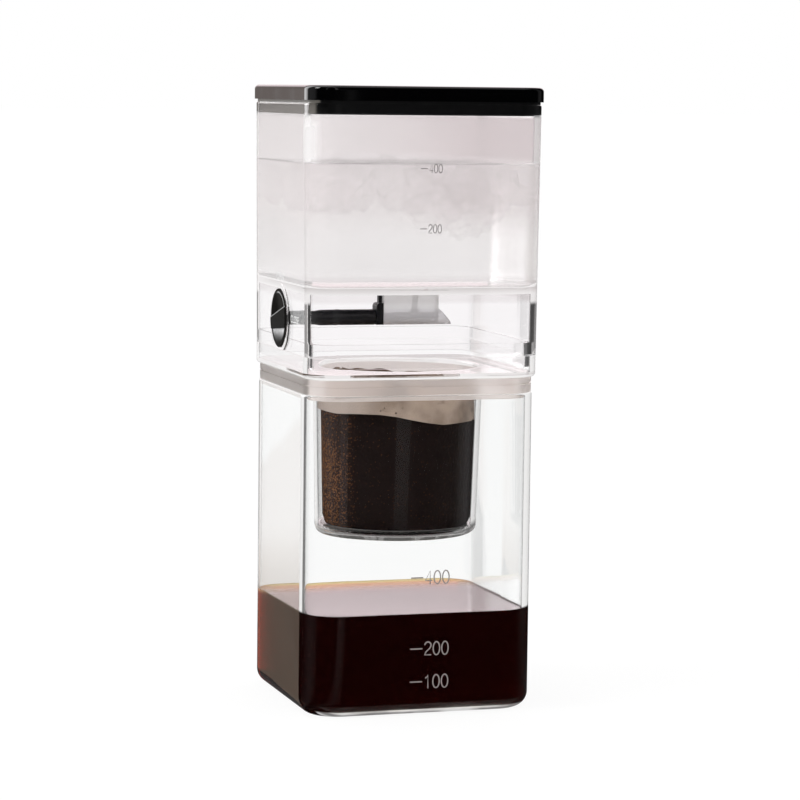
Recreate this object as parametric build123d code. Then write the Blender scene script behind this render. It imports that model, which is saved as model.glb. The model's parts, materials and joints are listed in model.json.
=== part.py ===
"""Square cold brew dripper: a carafe, a coffee basket, a water tank with a drip valve, and a lid.

The parts stack along +Z. The origin is the centre of the carafe's base, the front face looks along
-Y, and the valve's knob is on the left face, at -X. Everything is in millimetres.
"""
from build123d import *
import os

# Clearances
SEAT_GAP = 0.3          # between stacked parts that lift apart
RUNNING_GAP = 0.06      # radial, round anything that turns
FITTED_GAP = 0.1        # between pieces of one sub-assembly

# Carafe: a square tumbler of pressed glass
CARAFE_WIDTH = 92.0
CARAFE_HEIGHT = 123.2
CARAFE_CORNER_R = 15.0
CARAFE_WALL = 2.5
CARAFE_BASE = 2.6
CARAFE_FOOT_R = 5.8
CARAFE_INNER_FOOT_R = 3.4
CARAFE_RIM_R = 0.8

# Basket seal: a square silicone ring between the carafe's rim and the basket's flange
SEAL_HEIGHT = 6.2
SEAL_INSET = 0.4        # from the carafe's side to the seal's side
SEAL_LIP_DEPTH = 2.0
SEAL_LIP_WALL = 1.7
SEAL_GROOVE_UP = 3.4    # from the rim to the groove that runs round the seal
SEAL_GROOVE = 0.6
SEAL_EDGE_R = 0.5

# Coffee basket: a round cup under a square tray
COLLAR_PROUD = 0.3      # beyond the carafe's side
COLLAR_CORNER_R = 12.0
COLLAR_HEIGHT = 8.3
COLLAR_WALL = 2.0
COLLAR_EDGE_R = 1.4
FLANGE_THICKNESS = 2.0
SPIGOT_WALL = 1.8       # the rib under the flange that carries the seal
CUP_TOP_R = 35.0
CUP_BOTTOM_R = 33.0
CUP_DEPTH = 63.9        # from the flange's underside to the cup's bottom
CUP_WALL = 2.0
CUP_FLOOR = 2.0
CUP_EDGE_R = 3.2
CUP_MOUTH_R = 0.9       # rounding of the mouth
DRAIN_HOLE_R = 1.1
DRAIN_PITCH = 5.2

# Filter: a pressed steel screen, held down by a ring
SCREEN_THICKNESS = 0.4
SCREEN_RIM = 2.4
SCREEN_HOLE_R = 0.8
SCREEN_PITCH = 3.1
RING_HEIGHT = 1.4
RING_WALL = 1.6

# Water tank
TANK_STEP = 0.3         # from the collar's side in to the foot of the skirt
TANK_SPREAD = 0.8       # how far each wall leans out by the rim
TANK_HEIGHT = 95.8
TANK_CORNER_R = 10.5
TANK_WALL = 2.5
TANK_RIM_R = 0.8
TANK_FLOOR = 2.5
TANK_FLOOR_UP = 23.8    # from the skirt's foot to the floor's underside
TANK_FLOOR_R = 2.5      # rounding between the floor and the walls
TONGUE_WALL = 1.6       # the ring that drops into the basket's collar
TONGUE_DEPTH = 4.3
TONGUE_RISE = 5.0       # how far the tongue is carried up inside the skirt

# Valve: a hollow rotor that turns in a barrel under the tank's floor
VALVE_AXIS_DROP = 11.5  # from the floor's underside to the valve's axis
BARREL_R = 3.1
BARREL_START = -5.4
BARREL_LENGTH = 28.6    # along its underside
BARREL_SLANT = 5.3      # the end is cut back by this at the top
BOSS_LENGTH = 22.4
BOSS_THICKNESS = 7.0
INLET_X = 8.0
INLET_R = 1.2
OUTLET_R = 0.8
GASKET_R = 2.6
GASKET_DEPTH = 1.2
SEAT_R = 1.75
SEAT_DEPTH = 1.3
ROTOR_R = 1.9
ROTOR_END = 13.0
ROTOR_BORE_R = 0.85
ROTOR_PORT_R = 0.7
ROTOR_DRIVE = 2.4       # across the flats of its square tail
ROTOR_DRIVE_LENGTH = 5.0
O_RING_SECTION_R = 0.45
O_RING_PLACES = (-1.75, 4.0, 11.3)
END_PLUG_LENGTH = 4.0
BRACKET_LENGTH = 2.8
BRACKET_WIDTH = 6.0
BRACKET_HEIGHT = 8.5
BRACKET_DROP = 2.9      # from the valve's axis to the bracket's underside
BRACKET_SHOULDER_R = 1.4
BRACKET_NECK = 1.4
BRACKET_NECK_WIDTH = 2.0
BRACKET_NECK_X = -6.2
STEM_R = 3.05
STEM_NECK_R = 2.7       # the stem is thinner where it passes the wall
STEM_NECK_END = -36.5
STEM_TAPER_END = -31.8
STEM_JOURNAL_PROUD = 0.1    # its journal is this much larger than the rotor
KNOB_PAD_R = 13.8
KNOB_PAD_PROUD = 0.5
KNOB_POCKET = 1.7       # depth of the pocket that the knob turns in
KNOB_POCKET_GAP = 0.25
BUSH_WALL = 1.2
BUSH_HEAD_R = 6.0
BUSH_HEAD = 0.6
BUSH_SNAP = 0.5         # how far the bush's snap ring stands out behind the wall
BUSH_SNAP_LENGTH = 1.2

# Knob
KNOB_R = 11.4
KNOB_THICKNESS = 1.8
KNOB_EDGE_R = 0.4
KNOB_DISH_R = 10.0
KNOB_DISH = 1.2
KNOB_DISH_SAG = 0.15    # how much deeper than a cone the dish is, halfway out
KNOB_GRIP_PROUD = 0.35
KNOB_GRIP_TAIL = (-5.1, -0.4)       # its lower and upper edge at the rim, from the axis
KNOB_GRIP_POINTER = (-3.0, 5.7)     # the same on the side that points
KNOB_GRIP_R = 0.25
KNOB_SPLINE_R = 1.9     # the stem's end, inside the knob
KNOB_SPLINE_DEPTH = 1.3
KNOB_SPLINE_FLAT = 1.5

# Lid
LID_OVERHANG = 0.45     # beyond the tank's rim
LID_HEIGHT = 5.6
LID_WALL = 2.2
LID_TOP = 2.0
LID_CORNER_R = 10.5
LID_EDGE_R = 1.7
LID_SEAL_THICKNESS = 1.0
LID_SEAL_INSET = 1.2    # from the lid's side to the seal's side
LINER_PLATE = 1.6
PLUG_DEPTH = 4.3        # below the tank's rim
PLUG_WALL = 2.0
PLUG_EDGE_R = 0.8
SLEEVE_WALL = 1.2       # the part of the seal that goes round the plug
SLEEVE_EDGE_R = 0.5

# Heights of the stack, from the base up
FLANGE_Z = CARAFE_HEIGHT + SEAL_HEIGHT
COLLAR_TOP_Z = FLANGE_Z + COLLAR_HEIGHT
CUP_BOTTOM_Z = FLANGE_Z - CUP_DEPTH
FLOOR_Z = COLLAR_TOP_Z + TANK_FLOOR_UP
TANK_TOP_Z = COLLAR_TOP_Z + TANK_HEIGHT
LID_Z = TANK_TOP_Z + LID_SEAL_THICKNESS
LID_TOP_Z = LID_Z + LID_HEIGHT
VALVE_Z = FLOOR_Z - VALVE_AXIS_DROP
LINER_TOP_Z = LID_TOP_Z - LID_TOP
TANK_LEAN = TANK_SPREAD / TANK_HEIGHT

# Outer widths, each set by the part it stands on
COLLAR_WIDTH = CARAFE_WIDTH + 2 * COLLAR_PROUD
TANK_WIDTH = COLLAR_WIDTH - 2 * TANK_STEP
TANK_TOP_WIDTH = TANK_WIDTH + 2 * TANK_SPREAD
LID_WIDTH = TANK_TOP_WIDTH + 2 * LID_OVERHANG

# Widths that follow from what fits inside what
CARAFE_MOUTH = CARAFE_WIDTH - 2 * CARAFE_WALL
SEAL_WIDTH = CARAFE_WIDTH - 2 * SEAL_INSET
SEAL_LIP_WIDTH = CARAFE_MOUTH - 2 * SEAT_GAP
SEAL_BORE = SEAL_LIP_WIDTH - 2 * SEAL_LIP_WALL
SPIGOT_WIDTH = SEAL_BORE - 2 * FITTED_GAP
COLLAR_BORE = COLLAR_WIDTH - 2 * COLLAR_WALL
TONGUE_WIDTH = COLLAR_BORE - 2 * SEAT_GAP
TONGUE_BORE = TONGUE_WIDTH - 2 * TONGUE_WALL
TANK_MOUTH = TANK_TOP_WIDTH - 2 * TANK_WALL
LID_BORE = LID_WIDTH - 2 * LID_WALL
LINER_WIDTH = LID_BORE - 2 * FITTED_GAP
LID_SEAL_WIDTH = LID_WIDTH - 2 * LID_SEAL_INSET

# The sleeve stays clear of the leaning wall at its own lower end, and the plug fills it
SLEEVE_WIDTH = TANK_MOUTH - 2 * (SEAT_GAP + PLUG_DEPTH * TANK_LEAN)
SLEEVE_CORNER_R = TANK_CORNER_R + TANK_SPREAD - TANK_WALL - SEAT_GAP
PLUG_WIDTH = SLEEVE_WIDTH - 2 * (SLEEVE_WALL + FITTED_GAP)
PLUG_CORNER_R = SLEEVE_CORNER_R - SLEEVE_WALL - FITTED_GAP

# Along the valve, from left to right
WALL_OUT_X = -(TANK_WIDTH / 2 + (VALVE_Z - COLLAR_TOP_Z) * TANK_LEAN)
PAD_X = WALL_OUT_X - KNOB_PAD_PROUD
WALL_IN_X = WALL_OUT_X + TANK_WALL
POCKET_X = PAD_X + KNOB_POCKET
KNOB_X = POCKET_X - SEAT_GAP
BRACKET_X = BARREL_START - BRACKET_LENGTH
BARREL_BORE_R = ROTOR_R + RUNNING_GAP
STEM_JOURNAL_R = ROTOR_R + STEM_JOURNAL_PROUD
ROTOR_TAIL_X = BARREL_START - RUNNING_GAP
BUSH_BORE_R = STEM_NECK_R + RUNNING_GAP
BUSH_R = BUSH_BORE_R + BUSH_WALL


def rounded(width, corner_r, z):
    """A square with rounded corners, lying at a height."""
    return Pos(0, 0, z) * RectangleRounded(width, width, min(corner_r, width / 2 - 0.01))


def prism(width, corner_r, low, high):
    """An upright block with rounded corners, between two heights."""
    return extrude(rounded(width, corner_r, low), high - low)


def leaning_prism(width_low, width_high, corner_r, low, high):
    """The same with walls that lean out, its corners growing with its width."""
    corner_high = corner_r + (width_high - width_low) / 2
    return loft([rounded(width_low, corner_r, low), rounded(width_high, corner_high, high)], ruled=True)


def tank_width(z, wall=0.0):
    """Outer width of the tank at a height, less a wall on each side."""
    return TANK_WIDTH + 2 * (z - COLLAR_TOP_Z) * TANK_LEAN - 2 * wall


def tank_space(low, high):
    """The room between the tank's walls, between two heights."""
    corner_r = TANK_CORNER_R - TANK_WALL + (low - COLLAR_TOP_Z) * TANK_LEAN
    return leaning_prism(tank_width(low, TANK_WALL), tank_width(high, TANK_WALL), corner_r, low, high)


def rod(radius, start, end, end_radius=None):
    """A round rod along the valve's axis, tapered if it has an end radius."""
    along = Plane(origin=((start + end) / 2, 0, VALVE_Z), x_dir=(0, 1, 0), z_dir=(1, 0, 0))
    if end_radius is None:
        return along * Cylinder(radius, end - start)
    return along * Cone(radius, end_radius, end - start)


def block(x_range, width, z_range):
    """A block centred on the valve's axis in Y."""
    length = x_range[1] - x_range[0]
    height = z_range[1] - z_range[0]
    centre = Pos(sum(x_range) / 2, 0, sum(z_range) / 2)
    return centre * Box(length, width, height)


def upright(radius, x, low, high):
    """A round upright at a place along the valve."""
    return Pos(x, 0, (low + high) / 2) * Cylinder(radius, high - low)


def edges_at(solid, z):
    """The edges of a solid that lie flat at a height."""
    return solid.edges().filter_by_position(Axis.Z, z - 1e-4, z + 1e-4)


def hole_places(radius, pitch, hole_r):
    """Centres of round holes on a triangular grid inside a circle."""
    row_step = pitch * 3 ** 0.5 / 2
    rows = int(radius / row_step) + 1
    columns = int(radius / pitch) + 1
    places = []
    for row in range(-rows, rows + 1):
        shift = pitch / 2 * (row % 2)
        for column in range(-columns, columns + 1):
            x = column * pitch + shift
            y = row * row_step
            if x * x + y * y <= (radius - hole_r) ** 2:
                places.append((x, y))
    return places


def carafe():
    """Glass tumbler: straight sides, soft foot, thick base, polished rim."""
    body = prism(CARAFE_WIDTH, CARAFE_CORNER_R, 0, CARAFE_HEIGHT)
    body = fillet(edges_at(body, 0), CARAFE_FOOT_R)
    hollow = prism(CARAFE_MOUTH, CARAFE_CORNER_R - CARAFE_WALL, CARAFE_BASE, CARAFE_HEIGHT)
    hollow = fillet(edges_at(hollow, CARAFE_BASE), CARAFE_INNER_FOOT_R)
    body -= hollow
    return fillet(edges_at(body, CARAFE_HEIGHT), min(CARAFE_RIM_R, 0.45 * CARAFE_WALL))


def basket_seal():
    """Silicone ring: it lies on the carafe's rim and its lip centres the basket in the mouth."""
    corner_r = CARAFE_CORNER_R - SEAL_INSET
    lip_corner_r = CARAFE_CORNER_R - CARAFE_WALL - SEAT_GAP
    ring = prism(SEAL_WIDTH, corner_r, CARAFE_HEIGHT, FLANGE_Z)
    ring = fillet(edges_at(ring, CARAFE_HEIGHT) + edges_at(ring, FLANGE_Z), SEAL_EDGE_R)
    groove_z = CARAFE_HEIGHT + SEAL_GROOVE_UP
    groove = prism(SEAL_WIDTH + 1, corner_r, groove_z, groove_z + SEAL_GROOVE)
    groove -= prism(SEAL_WIDTH - 2 * SEAL_GROOVE, corner_r - SEAL_GROOVE, groove_z, groove_z + SEAL_GROOVE)
    lip = prism(SEAL_LIP_WIDTH, lip_corner_r, CARAFE_HEIGHT - SEAL_LIP_DEPTH, CARAFE_HEIGHT + SEAL_EDGE_R)
    lip = fillet(edges_at(lip, CARAFE_HEIGHT - SEAL_LIP_DEPTH), SEAL_EDGE_R)
    bore = prism(SEAL_BORE, lip_corner_r - SEAL_LIP_WALL, CARAFE_HEIGHT - SEAL_LIP_DEPTH, FLANGE_Z)
    return ring - groove + lip - bore


def cup_radius(z):
    """Outer radius of the basket's cup at a height."""
    share = (z - CUP_BOTTOM_Z) / CUP_DEPTH
    return CUP_BOTTOM_R + (CUP_TOP_R - CUP_BOTTOM_R) * share


def cup_space(low, high, wall):
    """The cup's inside between two heights, a wall's thickness within its outside."""
    between = Pos(0, 0, (low + high) / 2)
    return between * Cone(cup_radius(low) - wall, cup_radius(high) - wall, high - low)


def coffee_basket():
    """Clear moulding: square tray, rib for the seal, and a round cup with a drained bottom."""
    tray_floor_z = FLANGE_Z + FLANGE_THICKNESS
    tray = prism(COLLAR_WIDTH, COLLAR_CORNER_R, FLANGE_Z, COLLAR_TOP_Z)
    tray = fillet(edges_at(tray, FLANGE_Z), COLLAR_EDGE_R)
    tray -= prism(COLLAR_BORE, COLLAR_CORNER_R - COLLAR_WALL, tray_floor_z, COLLAR_TOP_Z)

    spigot_corner_r = CARAFE_CORNER_R - CARAFE_WALL - SEAT_GAP - SEAL_LIP_WALL - FITTED_GAP
    spigot_z = CARAFE_HEIGHT - SEAL_LIP_DEPTH + SEAL_EDGE_R
    spigot = prism(SPIGOT_WIDTH, spigot_corner_r, spigot_z, FLANGE_Z)
    spigot -= prism(SPIGOT_WIDTH - 2 * SPIGOT_WALL, spigot_corner_r - SPIGOT_WALL, spigot_z, FLANGE_Z)

    cup = Pos(0, 0, (CUP_BOTTOM_Z + FLANGE_Z) / 2) * Cone(CUP_BOTTOM_R, CUP_TOP_R, CUP_DEPTH)
    cup = fillet(edges_at(cup, CUP_BOTTOM_Z), CUP_EDGE_R)
    floor_z = CUP_BOTTOM_Z + CUP_FLOOR
    hollow = cup_space(floor_z, tray_floor_z, CUP_WALL)
    hollow = fillet(edges_at(hollow, floor_z), max(CUP_EDGE_R - CUP_WALL, 0.3))
    basket = tray + spigot + cup - hollow
    mouth = edges_at(basket, tray_floor_z).filter_by(GeomType.CIRCLE).sort_by(Edge.length)
    basket = fillet([edge for edge in mouth if edge.length > 2 * CUP_BOTTOM_R * 3], CUP_MOUTH_R)

    drained_r = cup_radius(floor_z) - CUP_WALL - RING_WALL - DRAIN_HOLE_R
    drill = Cylinder(DRAIN_HOLE_R, 3 * CUP_FLOOR)
    for x, y in hole_places(drained_r, DRAIN_PITCH, DRAIN_HOLE_R):
        basket -= Pos(x, y, CUP_BOTTOM_Z + CUP_FLOOR / 2) * drill
    return basket


def filter_screen():
    """Pressed steel disc with fine holes, lying on the cup's bottom."""
    floor_z = CUP_BOTTOM_Z + CUP_FLOOR
    screen_r = cup_radius(floor_z) - CUP_WALL - max(CUP_EDGE_R - CUP_WALL, 0.3)
    disc = Pos(0, 0, floor_z + SCREEN_THICKNESS / 2) * Cylinder(screen_r, SCREEN_THICKNESS)
    drill = Cylinder(SCREEN_HOLE_R, 3 * SCREEN_THICKNESS)
    places = hole_places(screen_r - SCREEN_RIM, SCREEN_PITCH, SCREEN_HOLE_R)
    return disc - [Pos(x, y, floor_z) * drill for x, y in places]


def screen_ring():
    """Clear ring that holds the screen down at the foot of the cup."""
    low = CUP_BOTTOM_Z + CUP_FLOOR + SCREEN_THICKNESS
    high = low + RING_HEIGHT
    corner = max(CUP_EDGE_R - CUP_WALL, 0.3)
    ring = cup_space(low, high, CUP_WALL + FITTED_GAP)
    ring = chamfer(edges_at(ring, low), max(corner - SCREEN_THICKNESS, 0.2))
    bore_r = cup_radius(low) - CUP_WALL - FITTED_GAP - RING_WALL - corner / 2
    return ring - Pos(0, 0, (low + high) / 2) * Cylinder(bore_r, 2 * RING_HEIGHT)


def water_tank():
    """Clear moulding: tank and skirt in one, a floor between them, and a pad with the knob's pocket."""
    floor_top_z = FLOOR_Z + TANK_FLOOR
    tank = leaning_prism(TANK_WIDTH, TANK_TOP_WIDTH, TANK_CORNER_R, COLLAR_TOP_Z, TANK_TOP_Z)
    basin = tank_space(floor_top_z, TANK_TOP_Z)
    basin = fillet(edges_at(basin, floor_top_z), TANK_FLOOR_R)
    tank = tank - basin - tank_space(COLLAR_TOP_Z, FLOOR_Z)
    tank = fillet(edges_at(tank, TANK_TOP_Z), min(TANK_RIM_R, 0.45 * TANK_WALL))

    tongue_corner_r = COLLAR_CORNER_R - COLLAR_WALL - SEAT_GAP
    tongue_low = COLLAR_TOP_Z - TONGUE_DEPTH
    tongue_high = COLLAR_TOP_Z + TONGUE_RISE
    tongue = prism(TONGUE_WIDTH, tongue_corner_r, tongue_low, COLLAR_TOP_Z)
    tongue += leaning_prism(tank_width(COLLAR_TOP_Z, TANK_WALL / 2), tank_width(tongue_high, TANK_WALL / 2),
                            TANK_CORNER_R - TANK_WALL / 2, COLLAR_TOP_Z, tongue_high)
    tongue -= prism(TONGUE_BORE, tongue_corner_r - TONGUE_WALL, tongue_low, tongue_high)
    tank += tongue

    pad = rod(KNOB_PAD_R, PAD_X, WALL_IN_X - TANK_WALL / 2)
    pad = fillet(pad.edges().group_by(Axis.X)[0], KNOB_PAD_PROUD * 0.6)
    pad_low = COLLAR_TOP_Z + SEAT_GAP
    tank += pad - block((PAD_X - 1, 0), 2 * KNOB_PAD_R, (pad_low - 2 * KNOB_PAD_R, pad_low))
    tank -= rod(KNOB_R + KNOB_POCKET_GAP, PAD_X - 1, POCKET_X)
    tank -= rod(BUSH_R + FITTED_GAP, PAD_X - 1, WALL_IN_X + 1)
    tank -= rod(BUSH_HEAD_R + FITTED_GAP, PAD_X - 1, POCKET_X + BUSH_HEAD)

    tank -= upright(INLET_R, INLET_X, FLOOR_Z - 1, floor_top_z + 1)
    return chamfer(edges_at(tank, floor_top_z).filter_by(GeomType.CIRCLE).sort_by(Edge.length)[0], 0.4)


def inlet_gasket():
    """Silicone sleeve between the tank's floor and the valve's boss."""
    gasket = upright(GASKET_R - FITTED_GAP, INLET_X, FLOOR_Z - GASKET_DEPTH, FLOOR_Z)
    return gasket - upright(INLET_R, INLET_X, FLOOR_Z - GASKET_DEPTH, FLOOR_Z)


def valve_barrel():
    """Smoke-grey body: a barrel cut off at a slant, under a flat boss that is bonded to the floor."""
    barrel = rod(BARREL_R, BARREL_START, BARREL_START + BARREL_LENGTH)
    end_x = BARREL_START + BARREL_LENGTH
    corner_low = (end_x, VALVE_Z - BARREL_R)
    corner_high = (end_x - BARREL_SLANT, VALVE_Z + BARREL_R)
    corner_far = (end_x + BARREL_SLANT, VALVE_Z + BARREL_R)
    wedge = Plane.XZ * make_face(Polyline(corner_low, corner_high, corner_far, close=True))
    barrel -= extrude(wedge, 2 * BARREL_R, both=True)
    boss = block((BARREL_START, BARREL_START + BOSS_LENGTH), BOSS_THICKNESS, (VALVE_Z, FLOOR_Z))
    boss -= rod(BARREL_R - 0.2, BARREL_START - 1, end_x)
    body = barrel + boss
    body -= rod(BARREL_BORE_R, BARREL_START - 1, ROTOR_END + END_PLUG_LENGTH + SEAT_GAP)
    body -= upright(INLET_R, INLET_X, VALVE_Z, FLOOR_Z)
    body -= upright(GASKET_R, INLET_X, FLOOR_Z - GASKET_DEPTH, FLOOR_Z + 1)
    body -= upright(SEAT_R, INLET_X, VALVE_Z, VALVE_Z + ROTOR_R + SEAT_DEPTH)
    return body - upright(OUTLET_R, 0, VALVE_Z - 2 * BARREL_R, VALVE_Z)


def valve_seat():
    """Silicone seat that the rotor closes against, saddled to the rotor's curve."""
    seat = upright(SEAT_R - FITTED_GAP, INLET_X, VALVE_Z, VALVE_Z + ROTOR_R + SEAT_DEPTH)
    seat -= upright(INLET_R, INLET_X, VALVE_Z, VALVE_Z + ROTOR_R + SEAT_DEPTH)
    return seat - rod(BARREL_BORE_R, INLET_X - 2 * SEAT_R, INLET_X + 2 * SEAT_R)


def barrel_end_plug():
    """Stopper in the barrel's far end."""
    plug = rod(BARREL_BORE_R - FITTED_GAP / 2, ROTOR_END + SEAT_GAP, ROTOR_END + END_PLUG_LENGTH + SEAT_GAP)
    return chamfer(plug.edges().group_by(Axis.X)[0], 0.3)


def valve_rotor():
    """Hollow spindle: two side ports, three ring grooves and a square tail for the stem."""
    rotor = rod(ROTOR_R, ROTOR_TAIL_X, ROTOR_END)
    tail = block((ROTOR_TAIL_X - ROTOR_DRIVE_LENGTH, ROTOR_TAIL_X), ROTOR_DRIVE,
                 (VALVE_Z - ROTOR_DRIVE / 2, VALVE_Z + ROTOR_DRIVE / 2))
    rotor += tail
    rotor -= rod(ROTOR_BORE_R, -OUTLET_R, ROTOR_END + 1)
    side = Plane(origin=(0, 0, VALVE_Z), x_dir=(1, 0, 0), z_dir=(0, -1, 0))
    rotor -= side * Pos(INLET_X, 0, ROTOR_R) * Cylinder(ROTOR_PORT_R, 2 * ROTOR_R)
    rotor -= side * Pos(0, 0, -ROTOR_R) * Cylinder(ROTOR_PORT_R, 2 * ROTOR_R)
    for x in O_RING_PLACES:
        half = O_RING_SECTION_R + FITTED_GAP
        groove = rod(ROTOR_R + 1, x - half, x + half)
        groove -= rod(ROTOR_R - 2 * O_RING_SECTION_R, x - half, x + half)
        rotor -= groove
    return rotor


def rotor_o_rings():
    """Three rings that seal the rotor in its barrel."""
    middle_r = ROTOR_R - O_RING_SECTION_R
    rings = []
    for x in O_RING_PLACES:
        across = Plane(origin=(x, 0, VALVE_Z), x_dir=(0, 1, 0), z_dir=(1, 0, 0))
        rings.append(across * Torus(middle_r, O_RING_SECTION_R - FITTED_GAP / 4))
    return Compound(children=rings)


def stem_bracket():
    """Black block on a neck under the floor: it carries the stem's inner end."""
    low = VALVE_Z - BRACKET_DROP
    high = low + BRACKET_HEIGHT
    bracket = block((BRACKET_X, BARREL_START), BRACKET_WIDTH, (low, high))
    shoulder = bracket.edges().filter_by(Axis.Y).group_by(Axis.Z)[-1].sort_by(Axis.X)[0]
    bracket = fillet(shoulder, BRACKET_SHOULDER_R)
    neck_x = (BRACKET_NECK_X - BRACKET_NECK / 2, BRACKET_NECK_X + BRACKET_NECK / 2)
    bracket += block(neck_x, BRACKET_NECK_WIDTH, (high - 1, FLOOR_Z))
    return bracket - rod(STEM_JOURNAL_R + RUNNING_GAP, BRACKET_X - 1, BARREL_START + 1)


def valve_stem():
    """Black rod from the knob to the rotor, with a neck that runs in the bush."""
    shoulder_x = BRACKET_X - SEAT_GAP
    stem = rod(STEM_NECK_R, KNOB_X, STEM_NECK_END)
    stem += rod(STEM_NECK_R, STEM_NECK_END, STEM_TAPER_END, STEM_R)
    stem += rod(STEM_R, STEM_TAPER_END, shoulder_x)
    stem += rod(STEM_JOURNAL_R, shoulder_x, ROTOR_TAIL_X - FITTED_GAP)
    spline = rod(KNOB_SPLINE_R, KNOB_X - KNOB_SPLINE_DEPTH + FITTED_GAP, KNOB_X + 1)
    flat_low = VALVE_Z + KNOB_SPLINE_FLAT
    spline -= block((KNOB_X - 2 * KNOB_THICKNESS, KNOB_X), 2 * KNOB_R, (flat_low, flat_low + KNOB_R))
    stem += spline
    socket = ROTOR_DRIVE / 2 + FITTED_GAP / 2
    depth_x = ROTOR_TAIL_X - ROTOR_DRIVE_LENGTH - FITTED_GAP
    return stem - block((depth_x, ROTOR_TAIL_X + 1), 2 * socket, (VALVE_Z - socket, VALVE_Z + socket))


def knob_bush():
    """Clear bearing for the stem, snapped into the skirt's wall under the knob."""
    bush = rod(BUSH_R, POCKET_X, WALL_IN_X + BUSH_SNAP_LENGTH)
    bush += rod(BUSH_HEAD_R, POCKET_X, POCKET_X + BUSH_HEAD - FITTED_GAP)
    bush += rod(BUSH_R + FITTED_GAP + BUSH_SNAP, WALL_IN_X + FITTED_GAP, WALL_IN_X + BUSH_SNAP_LENGTH, BUSH_R)
    return bush - rod(BUSH_BORE_R, POCKET_X - 1, WALL_IN_X + BUSH_SNAP_LENGTH + 1)


def valve_knob():
    """Round black knob: a dished face, crossed by a grip that widens to the side it points to."""
    face = Plane(origin=(KNOB_X, 0, VALVE_Z), x_dir=(0, -1, 0), z_dir=(-1, 0, 0))
    disc = extrude(Circle(KNOB_R), KNOB_THICKNESS)
    disc = fillet(disc.edges().group_by(Axis.Z)[-1], KNOB_EDGE_R)
    middle = (0, KNOB_THICKNESS - KNOB_DISH)
    halfway = (KNOB_DISH_R / 2, KNOB_THICKNESS - KNOB_DISH / 2 - KNOB_DISH_SAG)
    edge = (KNOB_DISH_R, KNOB_THICKNESS)
    section = ThreePointArc(middle, halfway, edge) + Polyline(edge, (0, KNOB_THICKNESS), middle)
    disc -= revolve(Plane.XZ * make_face(section), Axis.Z)
    outline = Polyline((-KNOB_R, KNOB_GRIP_TAIL[0]), (KNOB_R, KNOB_GRIP_POINTER[0]),
                       (KNOB_R, KNOB_GRIP_POINTER[1]), (-KNOB_R, KNOB_GRIP_TAIL[1]), close=True)
    grip = extrude(make_face(outline), KNOB_THICKNESS + KNOB_GRIP_PROUD)
    grip &= extrude(Circle(KNOB_R - KNOB_EDGE_R), KNOB_THICKNESS + KNOB_GRIP_PROUD)
    grip = fillet(grip.edges().group_by(Axis.Z)[-1], KNOB_GRIP_R)
    knob = face * (disc + grip)
    socket = rod(KNOB_SPLINE_R + FITTED_GAP / 2, KNOB_X - KNOB_SPLINE_DEPTH, KNOB_X + 1)
    flat_low = VALVE_Z + KNOB_SPLINE_FLAT + FITTED_GAP / 2
    socket -= block((KNOB_X - 2 * KNOB_THICKNESS, KNOB_X + 1), 2 * KNOB_R, (flat_low, flat_low + KNOB_R))
    return knob - socket


def lid_cap():
    """Gloss black outer shell of the lid."""
    cap = prism(LID_WIDTH, LID_CORNER_R, LID_Z, LID_TOP_Z)
    cap = fillet(edges_at(cap, LID_TOP_Z), LID_EDGE_R)
    return cap - prism(LID_BORE, LID_CORNER_R - LID_WALL, LID_Z, LINER_TOP_Z)


def lid_liner():
    """Black tray bonded inside the cap: its rim plugs the tank's mouth."""
    plate_z = LINER_TOP_Z - LINER_PLATE
    plate = prism(LINER_WIDTH, LID_CORNER_R - LID_WALL - FITTED_GAP, plate_z, LINER_TOP_Z)
    low = TANK_TOP_Z - PLUG_DEPTH
    plug = prism(PLUG_WIDTH, PLUG_CORNER_R, low, plate_z)
    plug = fillet(edges_at(plug, low), PLUG_EDGE_R)
    hollow = prism(PLUG_WIDTH - 2 * PLUG_WALL, PLUG_CORNER_R - PLUG_WALL, low, plate_z)
    return plate + plug - hollow


def lid_seal():
    """Black silicone seal: a ring that lies on the tank's rim, and a sleeve round the plug."""
    low = TANK_TOP_Z - PLUG_DEPTH
    plate_z = LINER_TOP_Z - LINER_PLATE
    ring = prism(LID_SEAL_WIDTH, LID_CORNER_R - LID_SEAL_INSET, TANK_TOP_Z, LID_Z)
    ring += prism(LINER_WIDTH, LID_CORNER_R - LID_WALL - FITTED_GAP, LID_Z, plate_z)
    sleeve = prism(SLEEVE_WIDTH, SLEEVE_CORNER_R, low, TANK_TOP_Z)
    ring += fillet(edges_at(sleeve, low), SLEEVE_EDGE_R)
    return ring - prism(PLUG_WIDTH + 2 * FITTED_GAP, PLUG_CORNER_R + FITTED_GAP, low, plate_z)


PIECES = (
    carafe,
    basket_seal,
    coffee_basket,
    filter_screen,
    screen_ring,
    water_tank,
    inlet_gasket,
    valve_barrel,
    valve_seat,
    barrel_end_plug,
    valve_rotor,
    rotor_o_rings,
    stem_bracket,
    valve_stem,
    knob_bush,
    valve_knob,
    lid_cap,
    lid_liner,
    lid_seal,
)

os.makedirs("parts", exist_ok=True)
for piece in PIECES:
    export_step(piece(), f"parts/{piece.__name__}.step")
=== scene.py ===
"""Looks of the square cold brew dripper: clear, black and printed finishes, and what it holds."""
import json
import math
import random

import bmesh
import bpy
from mathutils import Matrix, Vector, noise


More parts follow.
